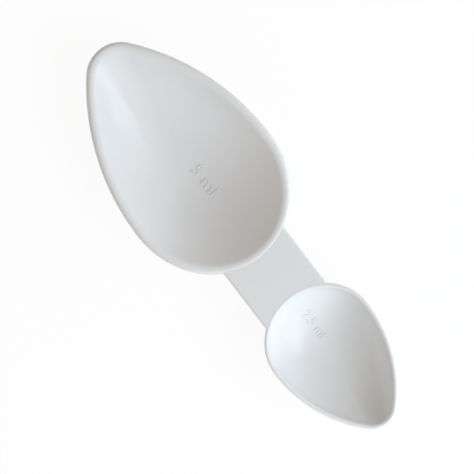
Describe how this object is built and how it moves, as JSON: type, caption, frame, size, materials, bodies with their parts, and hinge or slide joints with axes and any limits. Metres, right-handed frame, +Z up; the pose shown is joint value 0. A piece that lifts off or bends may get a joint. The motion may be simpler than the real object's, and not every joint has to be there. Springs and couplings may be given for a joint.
{
  "type": "medicine spoon",
  "caption": "Double-ended plastic medicine spoon: a large and a small egg-shaped measuring bowl with raised rims, joined heel to heel by a short flat handle.",
  "frame": {"origin": "on the surface that the spoon stands on, under the middle of its length and width", "axes": "+X along the spoon towards the small bowl's tip, +Z up, out of the open bowls"},
  "size_m": [0.0996, 0.0354, 0.0085],
  "materials": {
    "white_plastic": "white polypropylene, slightly glossy and slightly translucent, with no paint or print"
  },
  "bodies": {
    "root": {"medicine_spoon": "white_plastic"}
  },
  "joints": []
}
